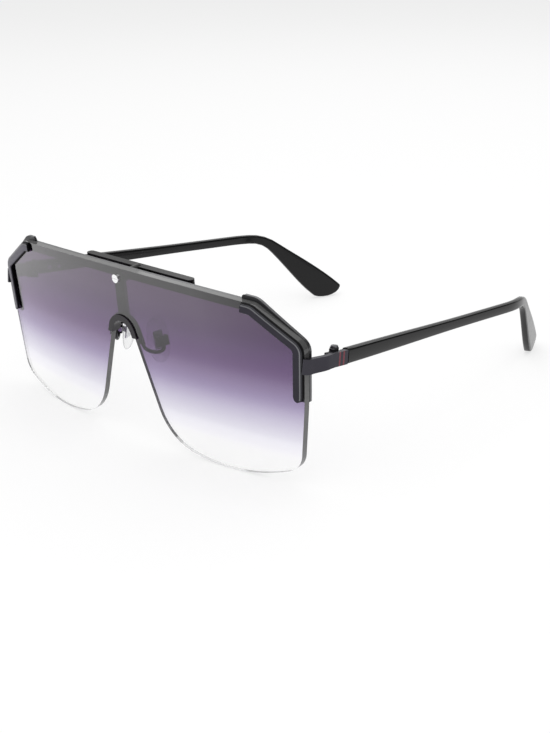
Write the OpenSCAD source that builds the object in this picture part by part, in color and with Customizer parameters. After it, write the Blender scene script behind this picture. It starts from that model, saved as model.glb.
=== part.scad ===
// Oversized shield sunglasses: one bent lens, clamped at its corners and carried
// by a rear frame, with rocking nose pads and two folding temples.
// The front is drawn upright: +X to the side, +Y back towards the ears, +Z up,
// with the lens's front touching Y = 0 at its middle. stood() then sets the whole
// part down on the lens's two low edges and the two temple tips.

/* [Lens] */
// Width of the lens across its outer corners
lens_w = 139.6; // [134:0.2:146]
// Height of the lens at its middle
lens_h = 58.6; // [56:0.1:61]
// Thickness of the lens
lens_t = 2; // [1.8:0.1:2.4]
// Radius that the lens's front face is bent to
lens_r = 282; // [240:1:340]
// Half width of the top edge, to the start of the sloping corner
top_half = 53.8; // [52:0.1:56]
// Fall of the top edge from the middle to that corner
top_drop = 2.5; // [1.6:0.1:3]
// Height of the outer corner, at the foot of the slope
corner_z = 45.6; // [44:0.1:47]
// Height where the side starts to lean in
side_z = 27; // [24:0.5:29]
// How far the side has leaned in at that height
side_in = 1.1; // [0.6:0.1:1.6]
// How far it has leaned in at the foot
foot_in = 3.6; // [2.8:0.1:4.4]
// Distance from the middle to the lowest point of each half
bottom_x = 41; // [39:0.5:43]
// Outer reach of the bottom curve from its lowest point
bottom_half = 19; // [17:0.5:20]
// Rise of the bottom curve over that reach
bottom_rise = 3.1; // [2.4:0.1:3.8]
// Inner reach of the bottom curve from its lowest point
bottom_inner = 14; // [12:0.5:15]
// Radius of the corner at the end of the top edge
top_round = 5; // [3:0.5:7]
// Radius of the outer corner
corner_round = 4.6; // [4:0.1:6]
// Radius of the bend half way down the side
side_round = 150; // [100:5:160]
// Radius of the low outer corner
foot_round = 7; // [5:0.5:8]

/* [Nose cut-out] */
// Half width of the cut-out at its gauge height
nose_half = 7.3; // [6.8:0.1:8]
// Gauge height of the cut-out
nose_z = 31.2; // [30:0.1:33]
// Slope of each side of the cut-out from the vertical, degrees
nose_lean = 18.9; // [17:0.1:20]
// Radius of the cut-out's top
nose_top_r = 5.2; // [4.8:0.1:5.6]
// Radius of the lens's corner at each foot of the cut-out
nose_round = 18; // [12:0.5:18]
// Thickness of the clip's flange on the lens's front face
clip_t = 0.5; // [0.4:0.05:0.8]
// How far that flange reaches over the lens
clip_over = 1.2; // [0.9:0.1:1.6]
// Thickness of the clip's wall inside the cut-out
clip_wall = 0.9; // [0.7:0.1:1.2]
// Height of the clip's two ends
clip_z = 36.1; // [35.5:0.1:37.5]

/* [Front trims] */
// Width of a trim
trim_w = 3.2; // [2.8:0.1:3.6]
// Thickness of a trim
trim_t = 1.0; // [0.8:0.1:1.4]
// Width of the bevel along its outer edge
trim_bevel = 0.8; // [0.5:0.1:1.1]
// Height of the bevel's foot above the lens
trim_edge = 0.4; // [0.3:0.1:0.5]
// Chamfer along its inner edge
trim_lip = 0.25; // [0.15:0.05:0.35]
// Distance from the middle to the trim's square top end
trim_start_x = 50.2; // [48:0.1:51]
// Height of the trim's round low end
trim_end_z = 27.6; // [27:0.1:30]

/* [Rear frame] */
// Thickness of the rear frame
rear_t = 0.9; // [0.8:0.1:1.4]
// Rim of its corner plates outside the lens
rear_rim = 0.1; // [0.05:0.05:0.4]
// Width of its corner plates
plate_w = 3.3; // [3:0.1:4.5]
// Height of its top rail
rail_h = 3.2; // [2.6:0.1:4]
// Width of its centre strip
strip_w = 4.5; // [4:0.1:5.5]
// Width of the bow round the cut-out's top
bow_w = 1.6; // [1.4:0.1:2]
// Height of the bow's two feet
bow_z = 34; // [32:0.1:35]
// How much lower the corner plates end than the trims
plate_drop = 0.5; // [0.2:0.1:2]
// Rise of the tab at each plate's top end over the lens's top edge
tab_rise = 1.4; // [0.8:0.1:2]
// Length of that tab
tab_l = 4.2; // [3:0.1:6]

/* [Brow bar] */
// Length of the bar
bar_w = 49.4; // [44:0.2:54]
// Depth of the bar, front to back
bar_d = 2.6; // [2.2:0.1:3.2]
// Height of the bar
bar_h = 3; // [2.6:0.1:3.6]
// Drop from the lens's top to the bar's top
bar_drop = 2.1; // [1.7:0.1:2.5]
// Gap from the rear frame to the bar, bridged by its boss
bar_gap = 5.4; // [4:0.1:6]
// Radius of the boss
boss_r = 1.9; // [1.7:0.1:2.1]

/* [Nose pads] */
// Height of a pad
pad_h = 14.8; // [13:0.2:16]
// Width of a pad
pad_w = 7.6; // [6.8:0.1:8.2]
// Thickness of a pad
pad_t = 2.2; // [1.9:0.1:2.4]
// Distance from the middle to a pad's centre
pad_x = 7.4; // [7.2:0.1:8.4]
// Distance from the lens's front to a pad's centre
pad_y = 8.8; // [8.6:0.1:10]
// Height of a pad's centre
pad_z = 33.4; // [32.5:0.1:34.5]
// Turn of a pad that opens it towards the rear, degrees
pad_splay = 18; // [12:1:22]
// Lean of a pad that closes it towards the top, degrees
pad_lean = 12; // [8:1:14]
// Diameter of the pad arm's wire
wire_d = 1.2; // [1:0.1:1.2]
// How far the wire's course is drawn down between its two ends
wire_dip = 3.2; // [2.8:0.1:4]

/* [End-pieces] */
// Thickness of the strap
strap_t = 1.5; // [1.2:0.1:1.8]
// Height of the strap at its rear end
strap_h = 4.3; // [3.8:0.1:4.8]
// Height of the strap where it meets the trim
strap_front_h = 4.6; // [4:0.1:5]
// Radius of the strap's outer bend at the trim
strap_bend = 1.9; // [1.6:0.1:2.4]
// How much lower the strap's middle lies at its front end
strap_fall = 1.1; // [0.8:0.1:1.4]
// Width of each inlaid line
inlay_w = 0.7; // [0.4:0.1:0.9]
// Depth of each inlaid line
inlay_d = 0.25; // [0.15:0.05:0.4]

/* [Hinges] */
// Distance from the side of the lens out to a hinge's axis
hinge_out = 0.5; // [0.4:0.1:1.5]
// Distance from the lens's front at its side back to a hinge's axis
hinge_back = 11.7; // [11.2:0.1:13]
// Drop from the lens's outer corner to a hinge's middle
hinge_drop = 7.2; // [6.6:0.1:8]
// Slope of the temples from the lens's square line, degrees
panto = 10; // [8:0.5:11]
// Radius of a hinge's knuckles
knuckle_r = 1.35; // [1.2:0.05:1.4]
// Height of the middle knuckle
knuckle_mid_h = 2; // [1.8:0.1:2.2]
// Height of each outer knuckle
knuckle_end_h = 1.6; // [1.4:0.1:1.8]
// Radius of the hinge screw's shank
pin_r = 0.6; // [0.5:0.05:0.7]
// Lean of both hinge axes to the left, which folds one temple over the other, degrees
fold_lean = 1.8; // [1.6:0.1:2.2]
// Distance from the axis back to the end of the strap
joint_y = 2.8; // [2.6:0.1:3.2]

/* [Temples] */
// Length of a temple along its middle, from the joint to the tip
temple_l = 148; // [142:1:152]
// Thickness of a temple at the joint
temple_t = 2.6; // [2.4:0.1:2.8]
// Thickness of a temple along its middle stretch
temple_mid_t = 2.3; // [2.2:0.1:2.6]
// Height of a temple at the joint
temple_h = 4.8; // [4.4:0.1:5.2]
// Height of a temple along its middle stretch
temple_mid_h = 3.5; // [3.2:0.1:4]
// Height of the flared tip
tip_h = 10.6; // [9:0.1:12]
// How much further the tip's rear corner reaches than its front one
tip_skew = 6.5; // [4:0.1:7.5]
// How far the end of the tip bulges past its two corners
tip_bulge = 2.6; // [1:0.1:3.5]
// Inward slope of the straight stretch, degrees
toe_in = 3.1; // [2.6:0.1:4]
// Inward slope of the tip, degrees
tip_turn_deg = 23; // [18:0.5:26]
// Drop of the tip from the straight stretch, degrees
tip_drop_deg = 37; // [34:0.5:38]
// Distance along the temple where it starts to curve inward
curve_start = 90; // [86:1:92]
// Distance along the temple where it starts to drop
drop_start = 100; // [96:1:103]
// Length of the drop's bend
drop_len = 15; // [12:1:18]
// Width of the core bar in each temple
core_w = 1.4; // [1.2:0.1:1.6]
// Thickness of the core bar
core_t = 0.8; // [0.6:0.1:1]

/* [Fits] */
// Gap between pieces that are clamped or glued together
seat_gap = 0.02; // [0.01:0.01:0.04]
// Radial clearance of a moving bore on its screw
run_gap = 0.05; // [0.03:0.01:0.08]
// Gap between a moving face and its neighbour
move_gap = 0.2; // [0.2:0.05:0.3]
// Gap between the end of the strap and the temple
joint_gap = 0.4; // [0.35:0.05:0.6]

/* [Hidden] */

// Facets of small round pieces, and of the wide bend of the lens
small_fn = 32;
bend_fn = 360;
// Overrun of a cut past the face that it opens
over = 1;

// Screws
bridge_head_r = 1.4;
bridge_head_t = 0.6;
bridge_r = 0.7;
bridge_depth = 3.4;
trim_screw_r = 0.6;
trim_head_r = 1;
trim_head_t = 0.5;
trim_screw_bite = 0.6;
temple_screw_r = 0.5;
temple_head_r = 0.8;
temple_head_t = 0.3;
temple_screw_bite = 0.9;
hinge_head_r = 1.1;
hinge_head_t = 0.5;
slot_w = 0.3;
slot_d = 0.2;

// Pad bracket, in the pad's own axes
pad_screw_r = 0.5;
pad_head_r = 0.85;
pad_head_t = 0.4;
ear_t = 0.5;
ear_gap = 2.8;
ear_h = 3.2;
ear_reach = 0.6;
bracket_t = 0.6;
lug_h = 2;
lug_clear = 0.5;
lug_reach = 0.7;
core_plate_h = 6;
core_plate_w = 3.2;
core_plate_t = 0.5;
core_plate_x = 0.1;

// Hinge leaves
leaf_t = 0.9;
leaf_len = 9;
leaf_h = 2.6;
mount_len = 3.6;
mount_t = 0.9;
leaf_screw_shares = [0.3, 0.75];
core_inset = 13;
inlay_gap = 1.1;
strap_run = 4;
strap_clear = 0.2;

// Counts of steps along curves
top_steps = 6;
arc_steps = 7;
bottom_steps = 10;
slope_steps = 6;
temple_steps = 44;
wire_steps = 16;
wire_sides = 8;
pad_rings = 13;
pad_points = 16;
cap_shares = [0.45, 0.75, 0.93, 1];
cap_least_share = 0.12;

full_turn = 360;
pad_pole = 84;

// Small helpers
function unit(v) = v / norm(v);
function ease(t) = let (c = max(0, min(1, t))) c * c * (3 - 2 * c);
function mix(a, b, t) = a + (b - a) * t;
function mirrored(points) = [for (i = [len(points) - 1:-1:0]) [-points[i].x, points[i].y]];
function sum_to(v, n, i = 0, s = [0, 0, 0]) = i >= n ? s : sum_to(v, n, i + 1, s + v[i]);

// Points of an arc of radius r that rounds the corner b between a and c
function corner_arc(a, b, c, r, n = arc_steps) = let (
    u = unit(a - b),
    w = unit(c - b),
    half = acos(u * w) / 2,
    m = b + unit(u + w) * r / sin(half),
    p = b + u * r / tan(half) - m,
    q = b + w * r / tan(half) - m,
    from = atan2(p.y, p.x),
    turn = (atan2(q.y, q.x) - from + full_turn * 1.5) % full_turn - full_turn / 2
) [for (i = [0:n]) m + r * [cos(from + turn * i / n), sin(from + turn * i / n)]];

// Outline of the lens, as X and Z
lens_half = lens_w / 2;
function top_z(x) = lens_h - top_drop * pow(x / top_half, 2);
function bottom_z(x) = bottom_rise * pow((x - bottom_x) / bottom_half, 2);
function bottom_slope(x) = 2 * bottom_rise * (x - bottom_x) / pow(bottom_half, 2);
top_corner = [top_half, top_z(top_half)];
outer_corner = [lens_half, corner_z];
side_corner = [lens_half - side_in, side_z];
bottom_out = bottom_x + bottom_half;
bottom_in = bottom_x - bottom_inner;
foot_x = lens_half - foot_in;
foot_corner = [foot_x, bottom_z(bottom_out) + bottom_slope(bottom_out) * (foot_x - bottom_out)];
nose_tan = tan(nose_lean);
nose_rise = nose_z - bottom_z(bottom_in) + bottom_slope(bottom_in) * bottom_in;
nose_foot_x = (nose_half + nose_rise * nose_tan) / (1 + bottom_slope(bottom_in) * nose_tan);
nose_foot = [nose_foot_x, nose_z - (nose_foot_x - nose_half) / nose_tan];
nose_mark = [nose_half, nose_z];
nose_top_z = nose_z + (nose_half * cos(nose_lean) - nose_top_r) / sin(nose_lean);
function nose_x(z) = nose_half + (nose_z - z) * nose_tan;

top_points = [for (i = [0:top_steps - 1]) let (x = top_half * i / top_steps) [x, top_z(x)]];
bottom_points = [
    for (i = [0:bottom_steps])
        let (x = mix(bottom_out, bottom_in, i / bottom_steps)) [x, bottom_z(x)]
];
nose_arc = [
    for (i = [0:arc_steps])
        let (a = mix(nose_lean, 90, i / arc_steps))
            [nose_top_r * cos(a), nose_top_z + nose_top_r * sin(a)]
];
slope_arc = corner_arc(top_points[top_steps - 1], top_corner, outer_corner, top_round);
outer_arc = corner_arc(top_corner, outer_corner, side_corner, corner_round);
half_outline = concat(
    top_points,
    slope_arc,
    outer_arc,
    corner_arc(outer_corner, side_corner, foot_corner, side_round),
    corner_arc(side_corner, foot_corner, bottom_points[0], foot_round),
    bottom_points,
    corner_arc(bottom_points[bottom_steps], nose_foot, nose_mark, nose_round),
    nose_arc
);
outline = concat(
    half_outline,
    [for (p = mirrored(half_outline)) if (abs(p.x) > seat_gap) p]
);
slot_low = [nose_x(bow_z - over * 4), bow_z - over * 4];
slot_outline = concat([slot_low], nose_arc, mirrored(concat([slot_low], nose_arc)));

// Distance back of a point at x that stands h in front of the lens's front face
function face_y(x, h = 0) = lens_r - sqrt(pow(lens_r + h, 2) - x * x);
function on_face(x, z, h = 0) = [x, face_y(x, h), z];
rear_y = lens_t + rear_t;
bar_top = lens_h - bar_drop;
hinge_x = lens_half + hinge_out;
hinge_y = face_y(lens_half) + hinge_back;
hinge_z = corner_z - hinge_drop;

// Carriage of the hinge: its axes, sloped by panto, written in the front's axes
function from_hinge(p) = [
    hinge_x + p.x,
    hinge_y + p.y * cos(panto) + p.z * sin(panto),
    hinge_z - p.y * sin(panto) + p.z * cos(panto)
];
function toed(p) = [p.x * cos(toe_in) - p.y * sin(toe_in), p.x * sin(toe_in) + p.y * cos(toe_in), p.z];

strap_out = knuckle_r + move_gap + strap_t;
temple_start = joint_y + joint_gap;
temple_mid_x = strap_out - temple_t / 2;

// Course of a temple: slopes at a distance s along it, then its points
function temple_yaw(s) = (tip_turn_deg - toe_in) * ease((s - curve_start) / (drop_start + drop_len / 2 - curve_start));
function temple_pitch(s) = tip_drop_deg * ease((s - drop_start) / drop_len);
function temple_dir(s) = let (w = temple_yaw(s), p = temple_pitch(s))
    [-sin(w) * cos(p), cos(w) * cos(p), -sin(p)];
temple_step = temple_l / temple_steps;
temple_moves = [for (i = [0:temple_steps - 1]) temple_dir((i + 0.5) * temple_step) * temple_step];
temple_course = [
    for (i = [0:temple_steps]) [temple_mid_x, temple_start, 0] + sum_to(temple_moves, i)
];

// Section of a temple: half height and half thickness at a distance s along it
waist_s = curve_start * 0.75;
flare_s = drop_start + drop_len / 4;
function temple_half_h(s) = s < waist_s
    ? mix(temple_h, temple_mid_h, ease(s / waist_s)) / 2
    : mix(temple_mid_h, tip_h, ease((s - flare_s) / (temple_l * 0.97 - flare_s))) / 2;
function temple_half_t(s) = s < waist_s
    ? mix(temple_t, temple_mid_t, ease(s / waist_s)) / 2
    : mix(temple_mid_t, temple_t, ease((s - flare_s) / (temple_l - flare_s))) / 2;
function section_corner(w, h, r, q, from) = [
    for (i = [from:2])
        let (
            a = q * 90 + i * 45,
            c = [(w - r) * (q == 0 || q == 3 ? 1 : -1), (h - r) * (q < 2 ? 1 : -1)]
        ) c + r * [cos(a), sin(a)]
];
function section_side(w, h, r) = [for (k = side_shares) [w, (h - r) * k * sign(w)]];
function section(w, h, r) = concat(
    section_corner(w, h, r, 0, 1),
    section_corner(w, h, r, 1, 0),
    section_side(-w, h, r),
    section_corner(w, h, r, 2, 0),
    section_corner(w, h, r, 3, 0),
    section_side(w, h, r),
    [[w, h - r]]
);
edge_r_share = 0.62;
side_shares = [-0.75, -0.4, 0, 0.4, 0.75];
bulge_run = 6;
tip_end_shares = [[1, 0], [0.8, 0.35], [0.45, 0.6]];

// One ring of a temple at a distance s, drawn in by k and set forward by f
function temple_ring(s, centre, k = 1, f = 0) = let (
    w = temple_yaw(s),
    p = temple_pitch(s),
    side = [cos(w), sin(w), 0],
    up = [-sin(w) * sin(p), cos(w) * sin(p), cos(p)],
    hh = temple_half_h(s),
    ht = temple_half_t(s),
    r = ht * edge_r_share,
    skew = tip_skew * pow(ease((s - flare_s) / (temple_l - flare_s)), 2) / tip_h,
    bulge = tip_bulge * pow(max(0, 1 - (temple_l - s) / (tip_bulge * bulge_run)), 2)
) [
    for (q = section(ht * k, hh - ht * (1 - k), r * k))
        centre + side * q.x + up * q.y
            + temple_dir(s) * (q.y * skew + f - f * 1.6 * pow(q.y / hh, 2) - bulge * pow(abs(q.y / hh), 3))
];
tip_end_t = temple_t * 0.5;
temple_rings = concat(
    [for (i = [0:temple_steps - 1]) temple_ring(i * temple_step, temple_course[i])],
    [
        for (e = tip_end_shares)
            temple_ring(temple_l, temple_course[temple_steps], e[0], e[1] * tip_end_t)
    ]
);

// Angle and place at which the part stands on its lens edges and temple tips
lens_low = on_face(bottom_x, 0);
tip_points = [
    for (i = [temple_steps - 4:len(temple_rings) - 1], p = temple_rings[i]) from_hinge(toed(p))
];
stand = max([for (p = tip_points) atan2(lens_low.z - p.z, p.y - lens_low.y)]);
function stood_y(p) = p.y * cos(stand) - p.z * sin(stand);
stand_lift = -(lens_low.y * sin(stand) + lens_low.z * cos(stand));
bridge_z = bar_top - bar_h / 2;
front_y = -bridge_head_t * cos(stand) - (bridge_z + bridge_head_r) * sin(stand);
crown_y = stood_y([0, 0, lens_h]);
stand_mid = (min(front_y, crown_y) + max([for (p = tip_points) stood_y(p)])) / 2;

module stood() {
    translate([0, -stand_mid, stand_lift]) rotate([stand, 0, 0]) children();
}

module on_left(left) {
    if (left) mirror([1, 0, 0]) children();
    else children();
}

// Solid through a list of rings that all have the same count of points
module skin(rings) {
    n = len(rings[0]);
    m = len(rings);
    last = (m - 1) * n;
    polyhedron(
        points = [for (r = rings, p = r) p],
        faces = concat(
            [for (i = [0:m - 2], j = [0:n - 1]) let (k = (j + 1) % n)
                each [[i * n + j, i * n + k, (i + 1) * n + k], [i * n + j, (i + 1) * n + k, (i + 1) * n + j]]],
            [for (j = [1:n - 2]) [0, j + 1, j]],
            [for (j = [1:n - 2]) [last, last + j, last + j + 1]]
        )
    );
}

// Bent layer of the front between two heights over the lens's front face
module layer(h0, h1) {
    reach = lens_h * 2;
    translate([0, lens_r, -reach / 2]) difference() {
        cylinder(r = lens_r + h1, h = reach, $fn = bend_fn);
        translate([0, 0, -over]) cylinder(r = lens_r + h0, h = reach + over * 2, $fn = bend_fn);
    }
}

// The X and Z drawing of its children, run back through the front's whole depth
module through_front() {
    depth = lens_w / 2;
    translate([0, depth / 2, 0]) rotate([90, 0, 0]) linear_extrude(depth) children();
}

// Children set square to the bent lens at x and z, with -Y out of its front face
module square_to_lens(x, z) {
    translate([0, lens_r, 0]) rotate([0, 0, asin(x / lens_r)]) translate([0, -lens_r, z]) children();
}

// Round bar along Y from y0 to y1
module bar_y(r, y0, y1) {
    translate([0, y0, 0]) rotate([-90, 0, 0]) cylinder(r = r, h = y1 - y0, $fn = small_fn);
}

// Block from one corner to the opposite one
module block(a, b) {
    translate(a) cube(b - a);
}

module lens_drawing() {
    polygon(outline);
}

module slot_drawing() {
    polygon(slot_outline);
}

// Places of the three screws of a corner, half a trim's width in from the edge
trim_mid = trim_w / 2;
slope_dir = unit(outer_corner - top_corner);
slope_in = [slope_dir.y, -slope_dir.x];
trim_spots = [
    [trim_start_x + trim_mid, top_z(trim_start_x + trim_mid) - trim_mid],
    mix(top_corner, outer_corner, 0.5) + slope_in * trim_mid,
    [lens_half - trim_mid - side_in / 2, mix(side_z, corner_z, 0.42)]
];

// Drills the screw holes of both corners, from y0 to y1 along the lens's square line
module corner_holes(r, y0, y1) {
    for (left = [false, true], p = trim_spots)
        on_left(left) square_to_lens(p.x, p.y) bar_y(r, y0, y1);
}

module shield_lens() {
    color([0.42, 0.36, 0.46, 0.7]) stood() difference() {
        intersection() {
            layer(-lens_t, 0);
            through_front() lens_drawing();
        }
        corner_holes(trim_screw_r, -over, lens_t + over);
        translate([0, 0, bridge_z]) bar_y(bridge_r, -over, lens_t + over);
    }
}

// Stamped rear frame: two corner plates, the rail, the strip and the bow, welded
// into one outline where they overlap
module corner_plate_drawing() {
    intersection() {
        difference() {
            offset(delta = rear_rim) lens_drawing();
            offset(delta = -plate_w) lens_drawing();
        }
        translate([trim_start_x - rail_h / 2, trim_end_z - plate_drop]) square(lens_w);
    }
}

module plate_tab_drawing() {
    intersection() {
        difference() {
            offset(delta = tab_rise) lens_drawing();
            offset(delta = -plate_w) lens_drawing();
        }
        translate([trim_start_x - rail_h / 2, corner_z]) square([tab_l, lens_h]);
    }
}

module rear_frame_drawing() {
    plate_tab_drawing();
    mirror([1, 0]) plate_tab_drawing();
    corner_plate_drawing();
    mirror([1, 0]) corner_plate_drawing();
    intersection() {
        difference() {
            lens_drawing();
            translate([0, -rail_h]) lens_drawing();
        }
        translate([-trim_start_x, lens_h / 2]) square([trim_start_x * 2, lens_h]);
    }
    translate([-strip_w / 2, nose_top_z + nose_top_r]) square([strip_w, lens_h - nose_top_z - nose_top_r - rail_h / 2]);
    intersection() {
        difference() {
            offset(delta = bow_w) slot_drawing();
            slot_drawing();
        }
        translate([-lens_half, bow_z]) square([lens_w, lens_h]);
    }
}

module rear_frame() {
    color([0.3, 0.3, 0.33]) stood() difference() {
        intersection() {
            layer(-rear_y, -lens_t - seat_gap);
            through_front() offset(delta = -seat_gap) offset(delta = seat_gap) rear_frame_drawing();
        }
        corner_holes(trim_screw_r, lens_t - over, rear_y + over);
        translate([0, 0, bridge_z]) bar_y(bridge_r, lens_t - over, rear_y + over);
    }
}

// Course of a trim along the lens's edge, and its section as distances in and out
side_arc = corner_arc(outer_corner, side_corner, foot_corner, side_round);
side_run = concat([outer_arc[arc_steps]], side_arc);
side_table = [for (i = [len(side_run) - 1:-1:0]) [side_run[i].y, side_run[i].x]];
trim_cap_z = trim_end_z + trim_mid;
trim_cap = [for (s = cap_shares) let (z = trim_cap_z - trim_mid * s) [lookup(z, side_table), z]];
trim_straight = concat(
    [for (x = [trim_start_x, mix(trim_start_x, top_half, 0.5)]) [x, top_z(x)]],
    slope_arc,
    [for (i = [1:slope_steps - 1]) mix(slope_arc[arc_steps], outer_arc[0], i / slope_steps)],
    outer_arc,
    [for (p = side_arc) if (p.y > trim_cap_z + over) p],
    [[lookup(trim_cap_z, side_table), trim_cap_z]]
);
trim_course = concat(trim_straight, trim_cap);
trim_section = [
    [trim_w, seat_gap], [trim_w, trim_t - trim_lip], [trim_w - trim_lip, trim_t],
    [trim_bevel, trim_t], [0, trim_edge], [0, seat_gap]
];
function course_dir(v, i) = unit(
    (i < len(v) - 1 ? unit(v[i + 1] - v[i]) : [0, 0]) + (i > 0 ? unit(v[i] - v[i - 1]) : [0, 0])
);
trim_rings = [
    for (i = [0:len(trim_course) - 1])
        let (
            t = course_dir(trim_course, i),
            cap = i - len(trim_straight),
            k = cap < 0 ? 1 : max(cap_least_share, sqrt(1 - pow(cap_shares[cap], 2)))
        ) [
            for (q = trim_section)
                let (c = trim_course[i] + [t.y, -t.x] * (trim_mid + (q.x - trim_mid) * k))
                    on_face(c.x, c.y, q.y)
        ]
];

module front_trim(left) {
    color([0.25, 0.25, 0.28]) stood() on_left(left) difference() {
        skin(trim_rings);
        for (p = trim_spots) square_to_lens(p.x, p.y) bar_y(trim_screw_r, -trim_screw_bite - seat_gap, over);
    }
}

// Clip that lines the top of the cut-out: a flange on the lens and a wall through it
module nose_clip() {
    color([0.08, 0.08, 0.1]) stood() {
        intersection() {
            layer(seat_gap, clip_t);
            through_front() clip_drawing(clip_over);
        }
        intersection() {
            layer(-rear_y, clip_t);
            through_front() clip_drawing(-seat_gap);
        }
    }
}

module clip_drawing(reach) {
    intersection() {
        difference() {
            offset(delta = reach) slot_drawing();
            offset(delta = -clip_wall) slot_drawing();
        }
        translate([-lens_half, clip_z]) square([lens_w, lens_h]);
    }
}

// Straight bar behind the lens, with round ends and a boss for the bridge screw
module brow_bar() {
    front = rear_y + bar_gap;
    end_x = (bar_w - bar_d) / 2;
    color([0.06, 0.06, 0.07]) stood() difference() {
        union() {
            block([-end_x, front, bar_top - bar_h], [end_x, front + bar_d, bar_top]);
            for (x = [-end_x, end_x])
                translate([x, front + bar_d / 2, bar_top - bar_h]) cylinder(r = bar_d / 2, h = bar_h, $fn = small_fn);
            translate([0, 0, bridge_z]) bar_y(boss_r, rear_y + seat_gap, front + bar_d / 2);
        }
        translate([0, 0, bridge_z]) bar_y(bridge_r, rear_y - over, rear_y + bridge_depth);
    }
}

module bridge_screw() {
    color([0.9, 0.9, 0.92]) stood() translate([0, 0, bridge_z]) difference() {
        union() {
            bar_y(bridge_head_r, -bridge_head_t, 0);
            bar_y(bridge_r - seat_gap, -seat_gap, rear_y + bridge_depth - seat_gap);
        }
        block([-bridge_head_r - over, -bridge_head_t - over, -slot_w / 2],
            [bridge_head_r + over, -bridge_head_t + slot_d, slot_w / 2]);
    }
}

module trim_screws(left) {
    color([0.75, 0.75, 0.78]) stood() on_left(left) for (p = trim_spots)
        square_to_lens(p.x, p.y) difference() {
            union() {
                bar_y(trim_screw_r - seat_gap, -trim_screw_bite, rear_y + seat_gap);
                bar_y(trim_head_r, rear_y + seat_gap, rear_y + trim_head_t);
            }
            block([-trim_head_r - over, rear_y + trim_head_t - slot_d, -slot_w / 2],
                [trim_head_r + over, rear_y + trim_head_t + over, slot_w / 2]);
        }
}

module on_hinge(left) {
    stood() on_left(left) translate([hinge_x, hinge_y, hinge_z]) rotate([-panto, 0, 0]) children();
}

// Plan and side view of the strap that runs from the trim back to the joint
strap_in = strap_out - strap_t;
strap_y = (face_y(lens_half, trim_t) - hinge_y + strap_fall * sin(panto)) / cos(panto);
strap_foot = [strap_t + strap_clear - hinge_out, strap_y + strap_bend];
strap_flat_y = -knuckle_r - move_gap - mount_len - strap_clear;
strap_arc_steps = 8;
strap_curve = [
    for (i = [0:strap_arc_steps])
        let (t = i / strap_arc_steps) [mix(strap_foot.x, strap_out, ease(t)), mix(strap_foot.y, strap_flat_y, t)]
];
strap_arc = [
    for (i = [0:strap_arc_steps - 1])
        let (a = 90 * i / strap_arc_steps) strap_foot + strap_bend * [sin(a) - 1, -cos(a)]
];
strap_plan = concat(
    [[strap_foot.x - strap_run, strap_y]],
    strap_arc,
    strap_curve,
    [[strap_out, joint_y], [strap_in, joint_y]],
    [for (i = [strap_arc_steps:-1:0]) strap_curve[i] - [strap_t, 0]],
    [[strap_foot.x - strap_run, strap_foot.y]]
);
strap_side_steps = 6;
strap_places = [for (i = [0:strap_side_steps]) mix(strap_y, -joint_y, i / strap_side_steps)];
function strap_edge(y, up) = let (t = ease((y - strap_y) / (-joint_y - strap_y)))
    mix(-strap_fall, 0, t) + up * mix(strap_front_h, strap_h, t) / 2;
strap_side = concat(
    [for (y = strap_places) [y, strap_edge(y, 1)]],
    [[joint_y, strap_h / 2], [joint_y, -strap_h / 2]],
    [for (i = [strap_side_steps:-1:0]) [strap_places[i], strap_edge(strap_places[i], -1)]]
);
inlay_starts = [-inlay_gap / 2 - inlay_w, inlay_gap / 2];

module endpiece(left) {
    color([0.25, 0.25, 0.28]) difference() {
        on_hinge(left) difference() {
            intersection() {
                translate([0, 0, -lens_half]) linear_extrude(lens_w) polygon(strap_plan);
                translate([-lens_half, 0, 0]) rotate([90, 0, 90]) linear_extrude(lens_w) polygon(strap_side);
            }
            for (y = inlay_starts)
                block([strap_out - inlay_d, y, -strap_h], [strap_out + over, y + inlay_w, strap_h]);
        }
        stood() through_front() offset(delta = seat_gap) lens_drawing();
        stood() intersection() {
            layer(-rear_y - seat_gap, -lens_t);
            through_front() offset(delta = rear_rim + seat_gap) lens_drawing();
        }
    }
}

module endpiece_inlay(left) {
    color([0.4, 0.08, 0.1]) on_hinge(left) for (y = inlay_starts)
        block([strap_out - inlay_d + seat_gap, y + seat_gap, -strap_h / 2],
            [strap_out, y + inlay_w - seat_gap, strap_h / 2]);
}

// The leaning axis of a hinge, about its middle
module on_axis(left) {
    rotate([0, left ? fold_lean : -fold_lean, 0]) children();
}

// Heights of the hinge's knuckles on its axis
mid_top = knuckle_mid_h / 2;
end_low = mid_top + move_gap;
end_top = end_low + knuckle_end_h;

module hinge_front(left) {
    face = strap_in - seat_gap;
    foot_y = -knuckle_r - move_gap;
    color([0.2, 0.2, 0.22]) on_hinge(left) difference() {
        union() {
            for (z = [end_low, -end_top]) {
                on_axis(left) translate([0, 0, z]) cylinder(r = knuckle_r, h = knuckle_end_h, $fn = small_fn);
                block([0, foot_y - mount_t, z], [face, 0, z + knuckle_end_h]);
            }
            block([face - mount_t, foot_y - mount_len, -strap_h / 2], [face, foot_y, strap_h / 2]);
        }
        on_axis(left) translate([0, 0, -end_top - over])
            cylinder(r = pin_r + seat_gap, h = (end_top + over) * 2, $fn = small_fn);
    }
}

module hinge_screw(left) {
    color([0.75, 0.75, 0.78]) on_hinge(left) on_axis(left) difference() {
        union() {
            translate([0, 0, -end_top]) cylinder(r = pin_r, h = end_top * 2 + seat_gap, $fn = small_fn);
            translate([0, 0, end_top + seat_gap]) cylinder(r = hinge_head_r, h = hinge_head_t, $fn = small_fn);
        }
        block([-hinge_head_r - over, -slot_w / 2, end_top + seat_gap + hinge_head_t - slot_d],
            [hinge_head_r + over, slot_w / 2, end_top + hinge_head_t + over]);
    }
}

// Temples, turned inward by toe_in about their hinges
module on_temple(left) {
    on_hinge(left) rotate([0, 0, toe_in]) children();
}

leaf_x = strap_out - temple_t - seat_gap;
leaf_screw_y = [for (s = leaf_screw_shares) temple_start + leaf_len * s];

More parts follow.
